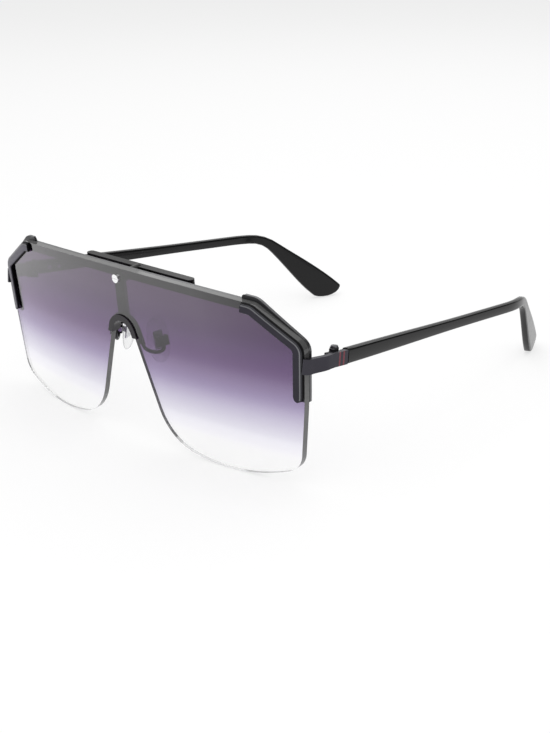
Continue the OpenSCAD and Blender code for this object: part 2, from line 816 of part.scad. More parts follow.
module bar_x(r, x0, x1) {
    translate([x0, 0, 0]) rotate([0, 90, 0]) cylinder(r = r, h = x1 - x0, $fn = small_fn);
}

module hinge_rear(left) {
    color([0.2, 0.2, 0.22]) on_hinge(left) difference() {
        union() {
            on_axis(left) translate([0, 0, -mid_top]) cylinder(r = knuckle_r, h = knuckle_mid_h, $fn = small_fn);
            rotate([0, 0, toe_in]) {
                block([leaf_x - leaf_t, 0, -mid_top], [leaf_x, temple_start + over, mid_top]);
                block([leaf_x - leaf_t, temple_start, -leaf_h / 2], [leaf_x, temple_start + leaf_len, leaf_h / 2]);
            }
        }
        on_axis(left) translate([0, 0, -mid_top - over])
            cylinder(r = pin_r + run_gap, h = knuckle_mid_h + over * 2, $fn = small_fn);
        rotate([0, 0, toe_in]) for (y = leaf_screw_y)
            translate([0, y, 0]) bar_x(temple_screw_r + seat_gap, leaf_x - leaf_t - over, leaf_x + over);
    }
}

module temple_screws(left) {
    color([0.75, 0.75, 0.78]) on_temple(left) for (y = leaf_screw_y) translate([0, y, 0]) {
        bar_x(temple_head_r, leaf_x - leaf_t - temple_head_t, leaf_x - leaf_t - seat_gap);
        bar_x(temple_screw_r, leaf_x - leaf_t - seat_gap, leaf_x + temple_screw_bite);
    }
}

module core_bar(gap) {
    block([temple_mid_x - core_t / 2 - gap, temple_start + core_inset - gap, -core_w / 2 - gap],
        [temple_mid_x + core_t / 2 + gap, temple_start + curve_start + gap, core_w / 2 + gap]);
}

module temple(left) {
    color([0.07, 0.07, 0.08]) on_temple(left) difference() {
        skin(temple_rings);
        core_bar(seat_gap);
        for (y = leaf_screw_y)
            translate([0, y, 0]) bar_x(temple_screw_r + seat_gap, leaf_x - over, leaf_x + temple_screw_bite + seat_gap);
    }
}

module temple_core(left) {
    color([0.7, 0.7, 0.72]) on_temple(left) core_bar(0);
}

// Nose pads, drawn in their own axes with +X towards the bracket
module on_pad(left) {
    stood() on_left(left) translate([pad_x, pad_y, pad_z]) rotate([0, 0, -pad_splay]) rotate([0, -pad_lean, 0])
        children();
}

function from_pad(p) = let (
    x = p.x * cos(pad_lean) - p.z * sin(pad_lean),
    z = p.x * sin(pad_lean) + p.z * cos(pad_lean)
) [pad_x + x * cos(pad_splay) + p.y * sin(pad_splay), pad_y - x * sin(pad_splay) + p.y * cos(pad_splay), pad_z + z];

lug_x = pad_t / 2 + lug_clear + lug_reach;
bracket_x = lug_x + lug_h / 2 + move_gap;
ear_y = ear_gap / 2;
pad_skin = [
    for (i = [0:pad_rings - 1])
        let (a = mix(-pad_pole, pad_pole, i / (pad_rings - 1)), k = pow(cos(a), 0.8)) [
            for (j = [0:pad_points - 1])
                let (b = 360 * j / pad_points)
                    [pad_t / 2 * k * sin(b), pad_w / 2 * k * cos(b), pad_h / 2 * sin(a)]
        ]
];

module core_plate() {
    translate([core_plate_x, -core_plate_w / 2, -core_plate_h / 2]) cube([core_plate_t, core_plate_w, core_plate_h]);
    block([core_plate_x, -ear_y + move_gap, -lug_h / 2], [lug_x, ear_y - move_gap, lug_h / 2]);
}

module nose_pad(left) {
    color([0.85, 0.87, 0.88, 0.5]) on_pad(left) difference() {
        skin(pad_skin);
        core_plate();
    }
}

module pad_core(left) {
    color([0.7, 0.7, 0.72]) on_pad(left) difference() {
        union() {
            core_plate();
            translate([lug_x, 0, 0]) bar_y(lug_h / 2, -ear_y + move_gap, ear_y - move_gap);
        }
        translate([lug_x, 0, 0]) bar_y(pad_screw_r + run_gap, -ear_gap, ear_gap);
    }
}

module pad_screw(left) {
    color([0.75, 0.75, 0.78]) on_pad(left) translate([lug_x, 0, 0]) {
        bar_y(pad_screw_r, -ear_y - ear_t - seat_gap, ear_y + ear_t);
        bar_y(pad_head_r, -ear_y - ear_t - seat_gap - pad_head_t, -ear_y - ear_t - seat_gap);
    }
}

// Arm: a bent wire from the bow's foot to a bracket with two ears
wire_r = wire_d / 2;
wire_from = on_face(nose_x(bow_z) + bow_w / 2, bow_z - seat_gap, -lens_t - wire_r - seat_gap * 2);
wire_to = [bracket_x + bracket_t / 2, 0, -ear_h / 2];
wire_marks = [
    wire_from,
    wire_from - [0, 0, wire_dip],
    from_pad(wire_to - [0, 0, wire_dip]),
    from_pad(wire_to)
];
function wire_at(t) = let (m = wire_marks, s = 1 - t)
    m[0] * pow(s, 3) + m[1] * 3 * s * s * t + m[2] * 3 * s * t * t + m[3] * pow(t, 3);
function wire_dir(t) = let (m = wire_marks, s = 1 - t)
    unit((m[1] - m[0]) * s * s + (m[2] - m[1]) * 2 * s * t + (m[3] - m[2]) * t * t);
wire_rings = [
    for (i = [0:wire_steps])
        let (
            t = i / wire_steps,
            d = wire_dir(t),
            a = unit(cross(d, [1, 0, 0])),
            b = cross(d, a)
        ) [for (j = [0:wire_sides - 1]) wire_at(t) + wire_r * (b * cos(360 * j / wire_sides) + a * sin(360 * j / wire_sides))]
];

module pad_arm(left) {
    color([0.2, 0.2, 0.22]) {
        stood() on_left(left) skin(wire_rings);
        on_pad(left) difference() {
            union() {
                block([bracket_x, -ear_y - ear_t, -ear_h / 2], [bracket_x + bracket_t, ear_y + ear_t, ear_h / 2]);
                for (y = [-ear_y - ear_t, ear_y])
                    block([lug_x - ear_reach, y, -ear_h / 2], [bracket_x + over / 2, y + ear_t, ear_h / 2]);
            }
            translate([lug_x, 0, 0]) bar_y(pad_screw_r + seat_gap, -ear_gap, ear_gap);
        }
    }
}

shield_lens();
rear_frame();
front_trim(false);  // front_trim_right
front_trim(true);  // front_trim_left
nose_clip();
brow_bar();
bridge_screw();
trim_screws(false);  // trim_screws_right
trim_screws(true);  // trim_screws_left
endpiece(false);  // endpiece_right
endpiece(true);  // endpiece_left
endpiece_inlay(false);  // endpiece_inlay_right
endpiece_inlay(true);  // endpiece_inlay_left
pad_arm(false);  // pad_arm_right
pad_arm(true);  // pad_arm_left
pad_screw(false);  // pad_screw_right
pad_screw(true);  // pad_screw_left
pad_core(false);  // pad_core_right
pad_core(true);  // pad_core_left
nose_pad(false);  // nose_pad_right
nose_pad(true);  // nose_pad_left
hinge_front(false);  // hinge_front_right
hinge_front(true);  // hinge_front_left
hinge_screw(false);  // hinge_screw_right
hinge_screw(true);  // hinge_screw_left
hinge_rear(false);  // hinge_rear_right
hinge_rear(true);  // hinge_rear_left
temple(false);  // temple_right
temple(true);  // temple_left
temple_core(false);  // temple_core_right
temple_core(true);  // temple_core_left
temple_screws(false);  // temple_screws_right
temple_screws(true);  // temple_screws_left
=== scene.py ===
import logging
import math
from dataclasses import dataclass
from enum import Enum, IntEnum

import bmesh
import bpy
from mathutils import Matrix, Vector


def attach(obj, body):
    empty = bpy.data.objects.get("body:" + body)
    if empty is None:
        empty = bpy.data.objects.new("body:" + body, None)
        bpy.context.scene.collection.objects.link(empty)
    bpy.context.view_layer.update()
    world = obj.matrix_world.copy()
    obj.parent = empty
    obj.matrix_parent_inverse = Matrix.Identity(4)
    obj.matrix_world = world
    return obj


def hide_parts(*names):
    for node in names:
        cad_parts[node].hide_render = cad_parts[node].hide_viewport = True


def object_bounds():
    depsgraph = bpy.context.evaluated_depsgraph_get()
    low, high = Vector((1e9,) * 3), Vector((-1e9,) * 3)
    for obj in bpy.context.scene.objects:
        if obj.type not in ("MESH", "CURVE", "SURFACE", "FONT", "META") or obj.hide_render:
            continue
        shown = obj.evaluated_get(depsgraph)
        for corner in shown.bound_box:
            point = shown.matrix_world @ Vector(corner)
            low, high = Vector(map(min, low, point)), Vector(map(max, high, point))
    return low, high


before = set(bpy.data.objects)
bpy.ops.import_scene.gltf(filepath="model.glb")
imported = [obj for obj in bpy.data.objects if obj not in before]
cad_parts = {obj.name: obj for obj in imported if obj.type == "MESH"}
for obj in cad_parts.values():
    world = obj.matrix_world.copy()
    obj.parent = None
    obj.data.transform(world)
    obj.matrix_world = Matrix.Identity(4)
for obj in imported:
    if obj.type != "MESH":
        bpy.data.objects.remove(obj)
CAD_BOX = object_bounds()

Span = tuple[float, float]
Triple = tuple[float, float, float]
Stops = tuple[tuple[float, Triple], ...]
Tree = bpy.types.NodeTree
Node = bpy.types.Node
Socket = bpy.types.NodeSocket
Surface = bmesh.types.BMesh
Piece = bpy.types.Object

LOG = logging.getLogger("sunglasses")
MM = 0.001
FRONT = "front"
PHOTO_HEIGHT = 733

# Form of the lens, as in the CAD source: radius of its bend, and its lean in degrees
LENS_RADIUS = 282 * MM
LENS_LEAN = 4.17

# How squarely a face looks out of the lens: 1 for its front, 0 for a cut edge
FRONT_SLOPE = 0.97
BEVEL_SLOPES = (0.75, 0.93)
WALL_SLOPE = 0.35

# Least part of a face's normal along a direction, for a face that looks that way
TOWARD = 0.3

# Joining of loose corners, in metres
WELD = 2e-7
CUT_WELD = 1e-7

# Least angle of an edge that is rounded, in degrees, and number of faces across it
STAMPED_CREASE = 30.0
TURNED_CREASE = 50.0
ROUNDING_FACES = 2

# Part of its range in which most of a noise lies
NOISE_SPAN = (0.3, 0.7)


class Side(Enum):
    """Side of the sunglasses, as the CAD nodes name it: right is +X."""

    RIGHT = "right"
    LEFT = "left"

    def node(self, stem: str) -> str:
        """Name of the CAD node of this side."""
        return f"{stem}_{self.value}"


class Shading(Enum):
    """How sharply a surface turns before its shading breaks, in degrees."""

    MOULDED = 58.0
    MACHINED = 30.0
    DRAWN = 80.0


class Band(IntEnum):
    """Material slot of each kind of face on a plated strip."""

    FACE = 0
    BEVEL = 1
    WALL = 2
    RIDGE = 3
    INNER = 4


class LensPart(IntEnum):
    """Material slot of each kind of face on the lens."""

    TINT = 0
    RIM = 1


# Node tools


def remapped(tree: Tree, value: Socket, taken: Span, given: Span = (0.0, 1.0)) -> Socket:
    """Maps one range of values onto another, and stops at its ends.

    Args:
        tree: Node tree to add to.
        value: Socket of the value.
        taken: Ends of the range that is read.
        given: Ends of the range that comes out.

    Returns:
        The mapped value's socket.
    """
    node = tree.nodes.new("ShaderNodeMapRange")
    names = ("From Min", "From Max", "To Min", "To Max")
    for name, limit in zip(names, (*taken, *given)):
        node.inputs[name].default_value = limit
    tree.links.new(value, node.inputs["Value"])
    return node.outputs["Result"]


def joined(
    tree: Tree,
    operation: str,
    first: Socket | float,
    second: Socket | float,
    clamp: bool = False,
) -> Socket:
    """Joins two values by arithmetic.

    Args:
        tree: Node tree to add to.
        operation: Blender's name of the operation.
        first: First value or its socket.
        second: Second value or its socket.
        clamp: Whether the result stays between 0 and 1.

    Returns:
        The result's socket.
    """
    node = tree.nodes.new("ShaderNodeMath")
    node.operation = operation
    node.use_clamp = clamp
    for term, socket in zip((first, second), node.inputs):
        if isinstance(term, float):
            socket.default_value = term
        else:
            tree.links.new(term, socket)
    return node.outputs["Value"]


def slanted(tree: Tree, taken: Span, given: Span) -> Socket:
    """Gives a value that changes with the slant at which a surface is seen.

    Args:
        tree: Node tree to add to.
        taken: Slants between which it changes: 0 is square on, 1 is edge on.
        given: Its values before and after.

    Returns:
        The value's socket.
    """
    facing = tree.nodes.new("ShaderNodeLayerWeight")
    return remapped(tree, facing.outputs["Facing"], taken, given)


def shown_rays(tree: Tree) -> tuple[Socket, Socket]:
    """Finds the rays of the camera, of glosses and of clear pieces.

    Args:
        tree: Node tree to add to.

    Returns:
        A socket that is 1 for all of them, and one that is 1 for glosses alone.
    """
    rays = tree.nodes.new("ShaderNodeLightPath").outputs
    outer = joined(tree, "MAXIMUM", rays["Is Camera Ray"], rays["Is Glossy Ray"])
    every = joined(tree, "MAXIMUM", outer, rays["Is Transmission Ray"])
    return every, rays["Is Glossy Ray"]


# Finishes


@dataclass(frozen=True)
class Finish:
    """One surface finish of the sunglasses.

    Attributes:
        name: Name of the Blender material.
        colour: Linear base colour.
        roughness: Roughness at the middle of its range.
        metallic: 1 for bare or plated metal.
        gloss: Strength of the reflection of a surface that isn't metal.
        matting: How far the roughness goes below and above its middle.
    """

    name: str
    colour: Triple
    roughness: float
    metallic: float = 0.0
    gloss: float = 0.5
    matting: Span = (0.0, 0.0)

    def material(self) -> bpy.types.Material:
        """Builds the material, or finds the one built before.

        Returns:
            The finished material.
        """
        found = bpy.data.materials.get(self.name)
        if found is not None:
            return found
        made = bpy.data.materials.new(self.name)
        made.use_nodes = True
        self.wire(made.node_tree, made.node_tree.nodes["Principled BSDF"])
        return made

    def wire(self, tree: Tree, shader: Node) -> None:
        """Sets the shader's sockets; each kind of finish adds its patterns.

        Args:
            tree: Node tree of the material.
            shader: Its Principled node.
        """
        shader.inputs["Base Color"].default_value = (*self.colour, 1.0)
        shader.inputs["Roughness"].default_value = self.roughness
        shader.inputs["Metallic"].default_value = self.metallic
        shader.inputs["Specular IOR Level"].default_value = self.gloss

    def roughen(self, tree: Tree, shader: Node, value: Socket) -> None:
        """Lets a pattern change the roughness.

        Args:
            tree: Node tree of the material.
            shader: Its Principled node.
            value: Socket of the pattern.
        """
        low, high = self.roughness - self.matting[0], self.roughness + self.matting[1]
        tree.links.new(self.spread(tree, value, low, high), shader.inputs["Roughness"])

    @staticmethod
    def pattern(
        tree: Tree, scale: float, stretch: Triple = (1.0, 1.0, 1.0), detail: float = 4.0
    ) -> Socket:
        """Adds a noise on Object coordinates.

        Args:
            tree: Node tree of the material.
            scale: Scale of the noise, per metre.
            stretch: Scale of the coordinates along X, Y and Z.
            detail: Octaves of the noise.

        Returns:
            The noise's value socket.
        """
        place = tree.nodes.new("ShaderNodeTexCoord")
        turn = tree.nodes.new("ShaderNodeMapping")
        turn.inputs["Scale"].default_value = stretch
        noise = tree.nodes.new("ShaderNodeTexNoise")
        noise.inputs["Scale"].default_value = scale
        noise.inputs["Detail"].default_value = detail
        tree.links.new(place.outputs["Object"], turn.inputs["Vector"])
        tree.links.new(turn.outputs["Vector"], noise.inputs["Vector"])
        return noise.outputs["Fac"]

    @staticmethod
    def spread(tree: Tree, value: Socket, low: float, high: float) -> Socket:
        """Maps the middle of a noise's range onto a range of values."""
        return remapped(tree, value, NOISE_SPAN, (low, high))

    @staticmethod
    def relief(tree: Tree, shader: Node, value: Socket, depth: float, strength: float) -> None:
        """Presses a pattern into the surface.

        Args:
            tree: Node tree of the material.
            shader: Its Principled node.
            value: Socket of the pattern's height.
            depth: Depth of the pattern, in metres.
            strength: Strength of the bump.
        """
        bump = tree.nodes.new("ShaderNodeBump")
        bump.inputs["Distance"].default_value = depth
        bump.inputs["Strength"].default_value = strength
        tree.links.new(value, bump.inputs["Height"])
        tree.links.new(bump.outputs["Normal"], shader.inputs["Normal"])


@dataclass(frozen=True)
class SatinPlating(Finish):
    """Dark satin plating with a fine drawn grain, slightly paler rubbed places and a painted
    sheen.

    Attributes:
        grain: Scale of the grain, per metre.
        stretch: Scale of the grain along X, Y and Z.
        depth: Depth of the grain, in metres.
        press: Strength of the grain's relief.
        rubbing: Scale of the rubbed places, per metre.
        wear: Share of the paler colour in the rubbed places.
        paler: Factor and addition that turn the colour into the paler one.
        slant: How much lighter it gets where it is seen at a slant: a painted sheen.
        slanting: Slants between which that painted sheen sets in.
    """

    matting: Span = (0.05, 0.07)
    grain: float = 1600.0
    stretch: Triple = (0.25, 1.0, 1.0)
    depth: float = 0.00002
    press: float = 0.25
    rubbing: float = 120.0
    wear: float = 0.12
    paler: Span = (1.9, 0.01)
    slant: float = 0.0
    slanting: Span = (0.3, 0.6)

    def wire(self, tree: Tree, shader: Node) -> None:
        """Adds the grain, the rubbed places and the painted sheen at a slant.

        Args:
            tree: Node tree of the material.
            shader: Its Principled node.
        """
        super().wire(tree, shader)
        grain = self.pattern(tree, self.grain, self.stretch)
        self.roughen(tree, shader, grain)
        self.relief(tree, shader, grain, self.depth, self.press)
        factor, addition = self.paler
        worn = tuple(part * factor + addition for part in self.colour)
        tint = tree.nodes.new("ShaderNodeMix")
        tint.data_type = "RGBA"
        tint.inputs["A"].default_value = (*self.colour, 1.0)
        tint.inputs["B"].default_value = (*worn, 1.0)
        rubbed = self.spread(tree, self.pattern(tree, self.rubbing), 0.0, self.wear)
        lift = tree.nodes.new("ShaderNodeVectorMath")
        lift.operation = "SCALE"
        # Painted sheen: the colour is scaled up where the surface is seen at a slant
        sheen = slanted(tree, self.slanting, (1.0, 1.0 + self.slant))
        tree.links.new(rubbed, tint.inputs["Factor"])
        tree.links.new(tint.outputs["Result"], lift.inputs[0])
        tree.links.new(sheen, lift.inputs["Scale"])
        tree.links.new(lift.outputs["Vector"], shader.inputs["Base Color"])


@dataclass(frozen=True)
class PolishedPlastic(Finish):
    """Glossy moulded plastic with a faint ripple and soft handling marks.

    Attributes:
        marks: Scale of the handling marks, per metre.
        stretch: Scale of the marks along X, Y and Z.
        detail: Octaves of the marks.
        waves: Scale of the ripple, per metre.
        depth: Depth of the ripple, in metres.
        ripple: Strength of the ripple.
    """

    matting: Span = (0.03, 0.05)
    marks: float = 260.0
    stretch: Triple = (1.0, 0.35, 1.0)
    detail: float = 6.0
    waves: float = 420.0
    depth: float = 0.00003
    ripple: float = 0.06

    def wire(self, tree: Tree, shader: Node) -> None:
        """Adds the ripple and the handling marks.

        Args:
            tree: Node tree of the material.
            shader: Its Principled node.
        """
        super().wire(tree, shader)
        self.roughen(tree, shader, self.pattern(tree, self.marks, self.stretch, self.detail))
        self.relief(tree, shader, self.pattern(tree, self.waves), self.depth, self.ripple)


@dataclass(frozen=True)
class TurnedMetal(Finish):
    """Small turned or drawn pieces: bright metal with tiny turning marks.

    Attributes:
        marks: Scale of the marks, per metre.
    """

    matting: Span = (0.04, 0.08)
    marks: float = 5200.0

    def wire(self, tree: Tree, shader: Node) -> None:
        """Adds the turning marks.

        Args:
            tree: Node tree of the material.
            shader: Its Principled node.
        """
        super().wire(tree, shader)
        self.roughen(tree, shader, self.pattern(tree, self.marks))


@dataclass(frozen=True)
class SoftClear(Finish):
    """Clear silicone: pale, see-through, a little clouded and denser along its outline.

    Attributes:
        alpha: Share of the light that its middle stops.
        clouds: Scale of the clouding, per metre.
        clouding: How far the clouding changes that share up and down.
        outline: Share that is added where it is seen at a slant.
        slanting: Slants between which that share sets in.
    """

    matting: Span = (0.05, 0.08)
    alpha: float = 0.3
    clouds: float = 300.0
    clouding: float = 0.04
    outline: float = 0.55
    slanting: Span = (0.6, 0.85)

    def wire(self, tree: Tree, shader: Node) -> None:
        """Adds the clouding and the outline.

        Args:
            tree: Node tree of the material.
            shader: Its Principled node.
        """
        super().wire(tree, shader)
        cloud = self.pattern(tree, self.clouds)
        self.roughen(tree, shader, cloud)
        thin, thick = self.alpha - self.clouding, self.alpha + self.clouding
        rim = slanted(tree, self.slanting, (0.0, self.outline))
        body = joined(tree, "ADD", rim, self.spread(tree, cloud, thin, thick), clamp=True)
        tree.links.new(body, shader.inputs["Alpha"])


@dataclass(frozen=True)
class TintedGlass(Finish):
    """Clear lens plastic whose tint is dark at the top and fades out downward.

    Attributes:
        height: Height of the lens in metres, over which the stops are spread.
        stops: Shares of that height, each with the linear colour of light that passes.
        ior: Refractive index.
        flash: Strength of the reflecting coat that lies on the upper part.
        flash_ior: Refractive index of the coat.
        flash_roughness: Roughness of the coat.
        slanting: Slants between which the coat sets in.
        upper: Shares of the height between which the coat sets in.
    """

    height: float = 0.0586
    stops: Stops = ()
    ior: float = 1.45
    flash: float = 0.72
    flash_ior: float = 1.9
    flash_roughness: float = 0.04
    slanting: Span = (0.16, 0.3)
    upper: Span = (0.4, 0.85)

    def wire(self, tree: Tree, shader: Node) -> None:
        """Adds the ramp over the height and the coat.

        Args:
            tree: Node tree of the material.
            shader: Its Principled node.
        """
        super().wire(tree, shader)
        shader.inputs["IOR"].default_value = self.ior
        shader.inputs["Transmission Weight"].default_value = 1.0
        shader.inputs["Coat IOR"].default_value = self.flash_ior
        shader.inputs["Coat Roughness"].default_value = self.flash_roughness
        share = self.share(tree)
        seen = slanted(tree, self.slanting, (0.0, self.flash))
        coat = joined(tree, "MULTIPLY", seen, remapped(tree, share, self.upper))
        tree.links.new(self.tint(tree, share), shader.inputs["Base Color"])
        tree.links.new(coat, shader.inputs["Coat Weight"])

    def share(self, tree: Tree) -> Socket:
        """Adds the share of the lens's height at which a point lies.

        Args:
            tree: Node tree of the material.

        Returns:
            The share's socket.
        """
        place = tree.nodes.new("ShaderNodeTexCoord")
        split = tree.nodes.new("ShaderNodeSeparateXYZ")
        tree.links.new(place.outputs["Object"], split.inputs["Vector"])
        return remapped(tree, split.outputs["Z"], (0.0, self.height))

    def tint(self, tree: Tree, share: Socket) -> Socket:
        """Adds the colour ramp over the height.

        Args:
            tree: Node tree of the material.
            share: Socket of the height's share.

        Returns:
            The colour's socket.
        """
        node = tree.nodes.new("ShaderNodeValToRGB")
        band = node.color_ramp
        band.interpolation = "CARDINAL"
        while len(band.elements) < len(self.stops):
            band.elements.new(0.5)
        for element, (at, colour) in zip(band.elements, self.stops):
            element.position = at
            element.color = (*colour, 1.0)
        tree.links.new(share, node.inputs["Fac"])
        return node.outputs["Color"]


@dataclass(frozen=True)
class CutEdge(TintedGlass):
    """Cut edge of the lens: half clear below, and closed by a frosted polish above.

    Attributes:
        closing: Shares of the height between which it closes.
        passing: Share of the light that passes below.
    """

    closing: Span = (0.3, 0.6)
    passing: float = 0.3

    def wire(self, tree: Tree, shader: Node) -> None:
        """Adds the change from half clear to closed.

        Args:
            tree: Node tree of the material.
            shader: Its Principled node.
        """
        super().wire(tree, shader)
        passed = remapped(tree, self.share(tree), self.closing, (self.passing, 0.0))
        tree.links.new(passed, shader.inputs["Transmission Weight"])


# The finishes in use: name, linear colour, roughness and, for metal, metallic
LENS_TINT = TintedGlass(
    "graded violet tint",
    (0.5, 0.5, 0.5),
    0.0,
    stops=(
        (0.11, (1.0, 1.0, 1.0)),
        (0.17, (0.96, 0.95, 0.99)),
        (0.25, (0.80, 0.78, 0.87)),
        (0.41, (0.43, 0.375, 0.535)),
        (0.56, (0.18, 0.12, 0.24)),
        (0.73, (0.08, 0.04, 0.115)),
        (0.95, (0.062, 0.03, 0.078)),
    ),
)
LENS_RIM = CutEdge(
    "polished lens rim",
    (0.5, 0.5, 0.5),
    0.06,
    flash=0.0,
    stops=(
        (0.04, (0.48, 0.48, 0.49)),
        (0.20, (0.26, 0.26, 0.265)),
        (0.45, (0.17, 0.17, 0.17)),
        (0.70, (0.09, 0.09, 0.09)),
        (0.955, (0.09, 0.09, 0.09)),
        # The paler last stop paints a highlight along the lens's top edge; the stops below
        # follow the tint
        (1.00, (0.13, 0.13, 0.13)),
    ),
)
# The trim plating's slant paints a sheen: its colour gets lighter where it is seen at a slant
TRIM_PLATING = SatinPlating("trim plating", (0.034, 0.032, 0.041), 0.34, 0.85, slant=1.6)
TRIM_BEVEL = SatinPlating("trim bevel", (0.035, 0.035, 0.04), 0.34, 0.85)
# A pale metal on the thin ridge between trim face and bevel: a painted highlight line
TRIM_HIGHLIGHT_RIDGE = SatinPlating("painted highlight ridge", (0.17, 0.17, 0.18), 0.28, 1.0)
# Near black on the cut edges and on the line behind the bevel: painted shade where those edges
# lie in shade
SHADE_BLACK_EDGE = SatinPlating("painted shade black edge", (0.003, 0.003, 0.0035), 0.45, gloss=0.08)
REAR_PLATING = SatinPlating("rear frame plating", (0.05, 0.05, 0.053), 0.38, 0.8)
# A paler copy of the rear frame plating on its cut edges: a painted highlight
REAR_HIGHLIGHT_EDGE = SatinPlating("rear frame painted highlight", (0.13, 0.13, 0.135), 0.34, 0.9)
STRAP_PLATING = SatinPlating(
    "strap plating", (0.044, 0.042, 0.052), 0.32, 0.85, stretch=(1.0, 0.25, 1.0)
)
HINGE_METAL = SatinPlating("hinge metal", (0.03, 0.03, 0.033), 0.36, 0.8, grain=2600.0)
CLIP_PLASTIC = PolishedPlastic("clip plastic", (0.012, 0.009, 0.014), 0.22, gloss=0.4)
BAR_LACQUER = PolishedPlastic(
    "bar lacquer", (0.005, 0.005, 0.005), 0.2, gloss=0.16, ripple=0.03
)
TEMPLE_PLASTIC = PolishedPlastic("temple plastic", (0.006, 0.006, 0.0063), 0.16, gloss=0.27)
INLAY_ENAMEL = PolishedPlastic("inlay enamel", (0.18, 0.012, 0.028), 0.2, ripple=0.02)
SCREW_STEEL = TurnedMetal("screw steel", (0.93, 0.93, 0.94), 0.14, 1.0)
HINGE_SCREW = TurnedMetal("hinge screw steel", (0.14, 0.14, 0.15), 0.26, 1.0)
SMALL_SCREW = TurnedMetal("small screw steel", (0.62, 0.62, 0.64), 0.22, 1.0)
CORE_STEEL = TurnedMetal("core steel", (0.35, 0.35, 0.37), 0.3, 1.0, marks=1500.0)
PAD_STEEL = TurnedMetal("pad core steel", (0.8, 0.8, 0.82), 0.3, 1.0, marks=1500.0)
PAD_SILICONE = SoftClear("pad silicone", (0.42, 0.43, 0.46), 0.22, alpha=0.09)


# Mesh tools


def merged_copy(node: str) -> Surface:
    """Copies a CAD node's triangles and joins them into one surface.

    Args:
        node: Name of the CAD node.

    Returns:
        The joined surface.
    """
    surface = bmesh.new()
    surface.from_mesh(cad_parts[node].data)
    bmesh.ops.remove_doubles(surface, verts=surface.verts, dist=WELD)
    return surface


def piece_from(surface: Surface, name: str, shading: Shading, finishes: list[Finish]) -> Piece:
    """Turns a surface into an object with smooth faces and sharp creases.

    Args:
        surface: The surface, which is freed.
        name: Name of the object.
        shading: How sharply it may turn before its shading breaks.
        finishes: Finishes of its material slots.

    Returns:
        The object.
    """
    surface.normal_update()
    limit = math.radians(shading.value)
    for edge in surface.edges:
        edge.smooth = len(edge.link_faces) == 2 and edge.calc_face_angle(0.0) < limit
    for face in surface.faces:
        face.smooth = True
    mesh = bpy.data.meshes.new(name)
    surface.to_mesh(mesh)
    surface.free()
    for finish in finishes:
        mesh.materials.append(finish.material())
    piece = bpy.data.objects.new(name, mesh)
    bpy.context.scene.collection.objects.link(piece)
    return piece


def lens_front(x: float) -> Vector:
    """Direction that the lens's front faces at a place along its width.

    Args:
        x: Distance from the middle, in metres.

    Returns:
        The unit vector.
    """
    share = x / LENS_RADIUS
    upright = Vector((share, -math.sqrt(1.0 - share * share), 0.0))
    return Matrix.Rotation(math.radians(LENS_LEAN), 3, "X") @ upright


def frontness(face: bmesh.types.BMFace, x: float) -> float:
    """How squarely a face looks out of the lens at a place along its width."""
    return abs(face.normal.dot(lens_front(x)))


def largest_band(faces: set[bmesh.types.BMFace]) -> set[bmesh.types.BMFace]:
    """Finds the largest group of faces that hang together by their edges.

    Args:
        faces: Faces to choose from.

    Returns:
        The faces of that group.
    """
    groups: list[set[bmesh.types.BMFace]] = []
    left = set(faces)
    while left:
        group = {left.pop()}
        reach = list(group)
        while reach:
            for edge in reach.pop().edges:
                near = {face for face in edge.link_faces if face in left}
                left -= near
                group |= near
                reach.extend(near)
        groups.append(group)
    return max(groups, key=len)


def chamfer(
    surface: Surface,
    edges: list[bmesh.types.BMEdge],
    width: float,
    slot: int,
    segments: int = 1,
) -> None:
    """Cuts or rounds edges of a surface.

    Args:
        surface: The surface.
        edges: Its edges.
        width: Width of the cut, in metres.
        slot: Material slot of the new faces, or -1 for their neighbours'.
        segments: Number of faces across the cut.
    """
    bmesh.ops.bevel(
        surface,
        geom=edges,
        offset=width,
        segments=segments,
        profile=0.5,
        affect="EDGES",
        material=slot,
    )


def soften(piece: Piece, width: float, angle: float) -> None:
    """Rounds the sharp edges of a piece.

    Args:
        piece: The object.
        width: Width of the rounding, in metres.
        angle: Least angle of an edge that is rounded, in degrees.
    """
    bevel = piece.modifiers.new("rounded edges", "BEVEL")
    bevel.width = width
    bevel.segments = ROUNDING_FACES
    bevel.limit_method = "ANGLE"
    bevel.angle_limit = math.radians(angle)
    bevel.harden_normals = True
    bevel.use_clamp_overlap = True


def seat(piece: Piece, node: str, body: str) -> Piece:
    """Puts a piece in the place of a CAD node.

    Args:
        piece: The object.
        node: CAD node that it stands for.
        body: Body that it moves with.

    Returns:
        The same object.
    """
    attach(piece, body)
    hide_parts(node)
    LOG.info("piece %s for %s on %s", piece.name, node, body)
    return piece


# Pieces


@dataclass
class Fitting:
    """A rigid piece that keeps its CAD form and gets softened edges and a finish.

    Attributes:
        node: Name of the CAD node.
        body: Body that it moves with.
        slot: Material slot of the record; not used.
        finish: Its finish.
        edge: Width of its rounded edges, in metres.
        shading: How sharply it may turn before its shading breaks.
        angle: Least angle of an edge that is rounded, in degrees.
    """

    node: str
    body: str
    slot: str
    finish: Finish
    edge: float
    shading: Shading = Shading.MACHINED
    angle: float = STAMPED_CREASE

    def surface(self) -> Surface:
        """Copies the form of the CAD node."""
        return merged_copy(self.node)

    def finishes(self) -> list[Finish]:
        """Lists the finishes of the piece's material slots."""
        return [self.finish]

    def build(self) -> Piece:
        """Builds the piece and seats it.

        Returns:
            The object.
        """
        piece = piece_from(
            self.surface(), f"{self.node}_shown", self.shading, self.finishes()
        )
        if self.edge > 0:
            soften(piece, self.edge, self.angle)
        return seat(piece, self.node, self.body)


